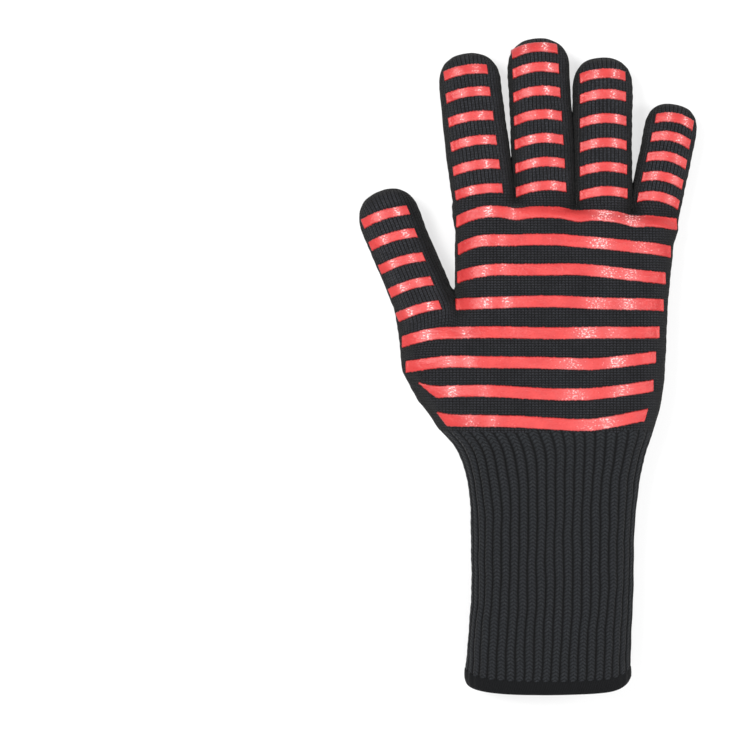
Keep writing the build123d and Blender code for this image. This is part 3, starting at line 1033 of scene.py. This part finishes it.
def stitchTeeth(run):
    # one small step a stitch, each a little different
    phase = chance.uniform(0, 1)
    stitch = (run / bars["toothPitch"] + phase).astype(int)
    lift = chance.uniform(*bars["toothLift"], stitch.max() + 2)[stitch]
    share = np.abs((run / bars["toothPitch"] + phase) % 1 - 0.5) * 2
    return bars["tooth"] * lift * (1 - share ** 2)


# where the painted highlights go on a bar
def paintedGlintsOf(kind):
    places, wander, strengths = bars[kind]
    return [(share + chance.uniform(-wander, wander), reach, chance.uniform(*strengths)) for share, reach in places]


def onFace(xy, palmSide):
    # drops each point onto the knit, from the palm side or from the back
    middle, reach, halvings = bars["core"]
    points = np.column_stack([xy, np.full(len(xy), middle)])
    heading = np.array([0.0, 0.0, 1.0 if palmSide else -1.0])
    points = points + heading * clothDistance(points, heading, reach, halvings)[:, None]
    slope = gradient(points)
    return points, slope / np.linalg.norm(slope, axis=1, keepdims=True)


def bridged(heights, count, columns, reach):
    # rubber spans a crease in the knit instead of following it down
    grid = heights.reshape(count, columns)
    window = np.ones(2 * reach + 1) / (2 * reach + 1)
    padded = [np.pad(column, reach, mode="edge") for column in grid.T]
    even = np.array([np.convolve(column, window, mode="valid") for column in padded]).T
    return np.maximum(grid, even - bars["bridgeDip"]).reshape(-1)


def barMesh(line, widths, side, palmSide, paintedGlints):
    # line: centre points across the hand; widths: the bar's width at each, measured along side;
    # and the painted highlights: (share of the length, reach in mm, strength) of each
    count = len(line)
    side = np.repeat(np.array([side], float), count, 0)
    steps = barSteps(widths.max(), bars["gridAcross"]) / widths.max()
    run = runAlong(line)
    lower, upper = -widths / 2 - stitchTeeth(run), widths / 2 + stitchTeeth(run)
    offsets = lower[:, None] + (upper - lower)[:, None] * steps[None, :]
    xy = line[:, None, :] + side[:, None, :] * offsets[..., None]
    fromSide = np.minimum(steps, 1 - steps)[None, :] * widths[:, None]
    fromEdge = np.minimum(fromSide, np.minimum(run, run[-1] - run)[:, None])
    rise = np.sqrt(1 - (1 - np.clip(fromEdge / bars["round"], 0, 1)) ** 2)
    points, normals = onFace(xy.reshape(-1, 2), palmSide)
    if palmSide:
        points[:, 2] = bridged(points[:, 2], count, len(steps), bars["bridge"])
    top = points + normals * (bars["height"] * (bars["edge"] + (1 - bars["edge"]) * rise)).reshape(-1, 1)
    top[:, 2] = np.maximum(top[:, 2], bars["lowest"])
    under = points - normals * bars["sunk"]
    faces = facingOut(top, normals, gridFaces(count, len(steps))[:, [0, 3, 2, 1]])
    shell, walls = walled(top, under, faces)
    places = np.column_stack([xy.reshape(-1, 2), fromEdge.reshape(-1)])
    # painted highlights along the bar, kept for the rubber's colour
    paintedLighting = np.zeros(count)
    for share, reach, strength in paintedGlints:
        paintedLighting = np.maximum(paintedLighting, strength * np.exp(-((run - share * run[-1]) / reach) ** 2))
    paintedLighting = np.repeat(paintedLighting, len(steps))
    return shell, walls, np.vstack([places, places * (1, 1, 0)]), np.concatenate([paintedLighting, paintedLighting * 0])


def joinBars(name, meshes, body, replaced):
    points, faces, places, paintedLighting, count = [], [], [], [], 0
    for shell, walls, place, paintedLight in meshes:
        points.append(shell)
        faces.append(walls + count)
        places.append(place)
        paintedLighting.append(paintedLight)
        count += len(shell)
    places = np.column_stack([np.vstack(places), np.concatenate(paintedLighting)])
    piece = makePiece(name, np.vstack(points), np.vstack(faces), rubber, places=places)
    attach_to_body(piece, body)
    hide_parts(replaced)
    return piece


def stallBar(name, row, palmSide):
    # row 0 lies on the palm, the last one on the tip
    stall = stalls[name]
    last = sum(stall["rows"])
    share = row / last
    station = (row - 0.5) * stall["pitch"] + stall["lift"][0 if row == last else 1]
    span, shift = (root + (tip - root) * share for tip, root in (stall["span"], stall["shift"]))
    edge = (ballAt(station)[0] if name == "thumb" else stall["width"]) / 2
    left, right = max(shift - span / 2, bars["clear"] - edge), shift + span / 2
    steps = left + barSteps(right - left, bars["grid"])
    off = (steps - (left + right) / 2) / (span / 2)
    along = station - stall["droop"] * off ** 2 + stall["tilt"] * off
    line = stall["origin"] + np.outer(steps, stall["side"]) + np.outer(along, stall["heading"])
    widths = np.full(len(line), bend["barWidth"])
    return barMesh(line, widths, stall["heading"], palmSide, paintedGlintsOf("stallPaintedGlints"))


palmRows = [
    # y: height in the middle; left, right: rise, reach and power at each end; ends: distance from the glove's sides
    # dips: how far it sags between the fingers; wave: sway beside the thumb's ball; cuts: lengths of the cut corners
    {"y": 78.6, "left": (-4.6, 17, 2.0), "right": (-5.7, 60, 1.0), "ends": (0.7, 1.7), "dips": 1.4},
    {"y": 64.0, "left": (-4.5, 15, 2.0), "right": (-5.8, 56, 1.2), "ends": (1.2, 3.5), "dips": 0.2},
    {"y": 48.7, "left": (-3.8, 25, 2.0), "right": (-4.4, 52, 1.3), "ends": (0.8, 4.0)},
    {"y": 32.0, "left": (-1.2, 30, 1.5), "right": (-1.8, 56, 1.2), "ends": (0.2, 3.2)},
    {"y": 16.1, "left": (-4.7, 22, 1.8), "right": (0.6, 22, 1.5), "ends": (1.7, 4.6), "wave": 0.1},
    {"y": 0.7, "left": (-2.2, 24, 1.5), "right": (3.2, 34, 1.3), "ends": (2.1, 6.0), "wave": 0.6},
    {"y": -14.7, "left": (2.2, 10, 1.5), "right": (4.6, 34, 1.4), "ends": (2.0, 6.4), "wave": 0.9, "cuts": (9.0, 0.1)},
    {"y": -29.9, "left": (1.5, 9, 1.5), "right": (4.8, 30, 1.4), "ends": (0.9, 5.2), "wave": 1.1, "cuts": (5.0, 1.8)},
]
palmBars = {
    "width": 5.8, "corner": 0.12,  # and the share of its width a bar keeps at a cut corner
    "sides": (95.0, 0.5),  # the glove's sides are looked for this far out, in these steps
    "inside": (15.0, 14.0), "highest": 75.5,  # starting at this x and z, no further up than this
    "webHeight": 27.0,  # rows above this stop short of the thumb
    "ball": (-32, 59), "ballPart": (-0.4, 1.2),  # x where the sway beside the thumb's ball starts, and its run
    "dipAt": 84.0, "dipReach": 6, "waves": (0.2, 9),
}


def palmBar(row, palmSide):
    outermost, step = palmBars["sides"]
    within, height = palmBars["inside"]
    xs = np.arange(-outermost, outermost, step)
    level = np.full(len(xs), min(row["y"], palmBars["highest"]))
    inside = gloveField(np.column_stack([xs, level, np.full(len(xs), height)])) < 0
    middle, half = sleeveAt(row["y"])[:2]
    start = int(np.searchsorted(xs, within))
    leftEnd = start - int(np.argmax(~inside[:start][::-1]))
    rightEnd = start + int(np.argmax(~inside[start:]))
    left, right = xs[leftEnd] + row["ends"][0], xs[rightEnd - 1] - row["ends"][1]
    if row["y"] > palmBars["webHeight"]:
        left = max(left, middle - half + row["ends"][0])
    line = left + barSteps(right - left, bars["grid"])
    fromLeft, fromRight = line - left, right - line
    begins, run = palmBars["ball"]
    y = row["y"] + row.get("wave", 0) * np.cos(np.clip((line - begins) / run, *palmBars["ballPart"]) * np.pi)
    for distance, (rise, reach, power) in ((fromLeft, row["left"]), (fromRight, row["right"])):
        y = y + rise * np.clip(1 - distance / reach, 0, 1) ** power
    for web in range(3):
        beside = (line - webLine(web, palmBars["dipAt"])) / palmBars["dipReach"]
        y = y - row.get("dips", 0) * np.exp(-beside ** 2)
    swell, length = palmBars["waves"]
    y = y + swell * np.sin(line / length + row["y"])
    cuts = row.get("cuts", (0.1, 0.1))  # lower corners cut off along the glove's edge
    corner = palmBars["corner"]
    full = np.minimum(np.clip(fromLeft / cuts[0], corner, 1), np.clip(fromRight / cuts[1], corner, 1))
    widths = palmBars["width"] * full
    y = y + (palmBars["width"] - widths) / 2
    return barMesh(np.column_stack([line, y]), widths, (0, 1), palmSide, paintedGlintsOf("palmPaintedGlints"))


for palmSide, replaced in ((True, "palm_stripes"), (False, "back_stripes")):
    meshes = [palmBar(row, palmSide) for row in palmRows]
    meshes += [stallBar(name, 0, palmSide) for name in stalls]
    joinBars("palm_rubber" if palmSide else "back_rubber", meshes, "palm", replaced)
for name, stall in stalls.items():
    first = 1
    for piece, rows in zip(stall["pieces"], stall["rows"]):
        own = range(first, first + rows)
        meshes = [stallBar(name, row, palmSide) for row in own for palmSide in (True, False)]
        first += rows
        joinBars(f"{name}_{piece}_rubber", meshes, f"{name}_{piece}", f"{name}_{piece}_stripes")
print("rubber made")

# floor, light and camera

low, high = (np.array(corner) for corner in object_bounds())
centre = (low + high) / 2
studio = {
    "frameWidth": 0.390, "lens": 100.0,
    "offset": (-0.0800, -0.0057),  # the glove stands right of the frame's middle
    "floorColour": "ffffff", "floorBounce": "9a9a9a",  # what the eye sees, and what it throws back at the glove's sides
    "floorHalf": 4, "room": 0.45,
}
floorMesh = bpy.data.meshes.new("floor")
half = studio["floorHalf"]
floorMesh.from_pydata([(-half, -half, 0), (half, -half, 0), (half, half, 0), (-half, half, 0)], [], [(0, 1, 2, 3)])
newObject("floor", floorMesh)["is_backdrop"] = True
# matt white paper; seen directly it is lifted towards white and keeps a soft shadow
paper, tree, shader = newMaterial("paperMattWhite", {"Roughness": 0.9, "Specular IOR Level": 0.1})
glow = addNode(tree, "Emission", {"Color": colour("ffffff"), "Strength": 1.0})
path = addNode(tree, "LightPath")
seen = path.outputs["Is Camera Ray"]
for ray in ("Is Glossy Ray", "Is Transmission Ray"):
    seen = addNode(tree, "Math", {0: seen, 1: path.outputs[ray]}, operation="MAXIMUM")
place = addNode(tree, "TexCoord").outputs["Object"]
far = addNode(tree, "VectorMath", {0: place}, operation="LENGTH").outputs["Value"]
rises = {"Value": far, "From Min": 0.35, "From Max": 1.1, "To Min": 0.68}  # the floor fades to pure white far off
share = addNode(tree, "MapRange", rises, interpolation_type="SMOOTHSTEP")
lift = addNode(tree, "Math", {0: seen, 1: share}, operation="MULTIPLY")
tones = {0: seen, 6: colour(studio["floorBounce"]), 7: colour(studio["floorColour"])}
sheet = addNode(tree, "Mix", tones, data_type="RGBA")
tree.links.new(sheet.outputs[2], shader.inputs["Base Color"])
mixed = addNode(tree, "MixShader", {0: lift, 1: shader, 2: glow})
output = next(node for node in tree.nodes if node.type == "OUTPUT_MATERIAL")
tree.links.new(mixed.outputs[0], output.inputs["Surface"])
floorMesh.materials.append(paper)

world = bpy.data.worlds.new("studio")
bpy.context.scene.world = world
world.use_nodes = True
tree = world.node_tree
tree.nodes.clear()
path = addNode(tree, "LightPath")
room = addNode(tree, "Background", {"Color": colour("ffffff"), "Strength": studio["room"]})
white = addNode(tree, "Background", {"Color": colour("ffffff"), "Strength": 1.0})
mixed = addNode(tree, "MixShader", {0: path.outputs["Is Camera Ray"], 1: room, 2: white})
addNode(tree, "OutputWorld", {"Surface": mixed})

lamps = [  # name, place, size, watts
    ("keySoftbox", (-0.62, 0.30, 1.15), 0.40, 14.0),
    ("fillSoftbox", (0.85, 0.1, 1.0), 0.36, 7.0),
    ("topSoftbox", (0.1, -0.9, 1.3), 0.8, 9.0),
]
for name, place, size, watts in lamps:
    lamp = bpy.data.lights.new(name, "AREA")
    lamp.shape, lamp.size, lamp.energy = "SQUARE", size, watts
    holder = newObject(name, lamp)
    holder.location = place
    aim = centre - np.array(place)
    holder.rotation_euler = Vector(aim).to_track_quat("-Z", "Y").to_euler()

camera = bpy.data.cameras.new("camera")
camera.lens = studio["lens"]
viewer = newObject("camera", camera)
distance = studio["frameWidth"] * studio["lens"] / camera.sensor_width
viewer.location = (centre[0] + studio["offset"][0], centre[1] + studio["offset"][1], centre[2] + distance)
viewer.rotation_euler = (0, 0, 0)
bpy.context.scene.camera = viewer
bpy.context.scene.view_settings.view_transform = "Standard"
print("studio made")
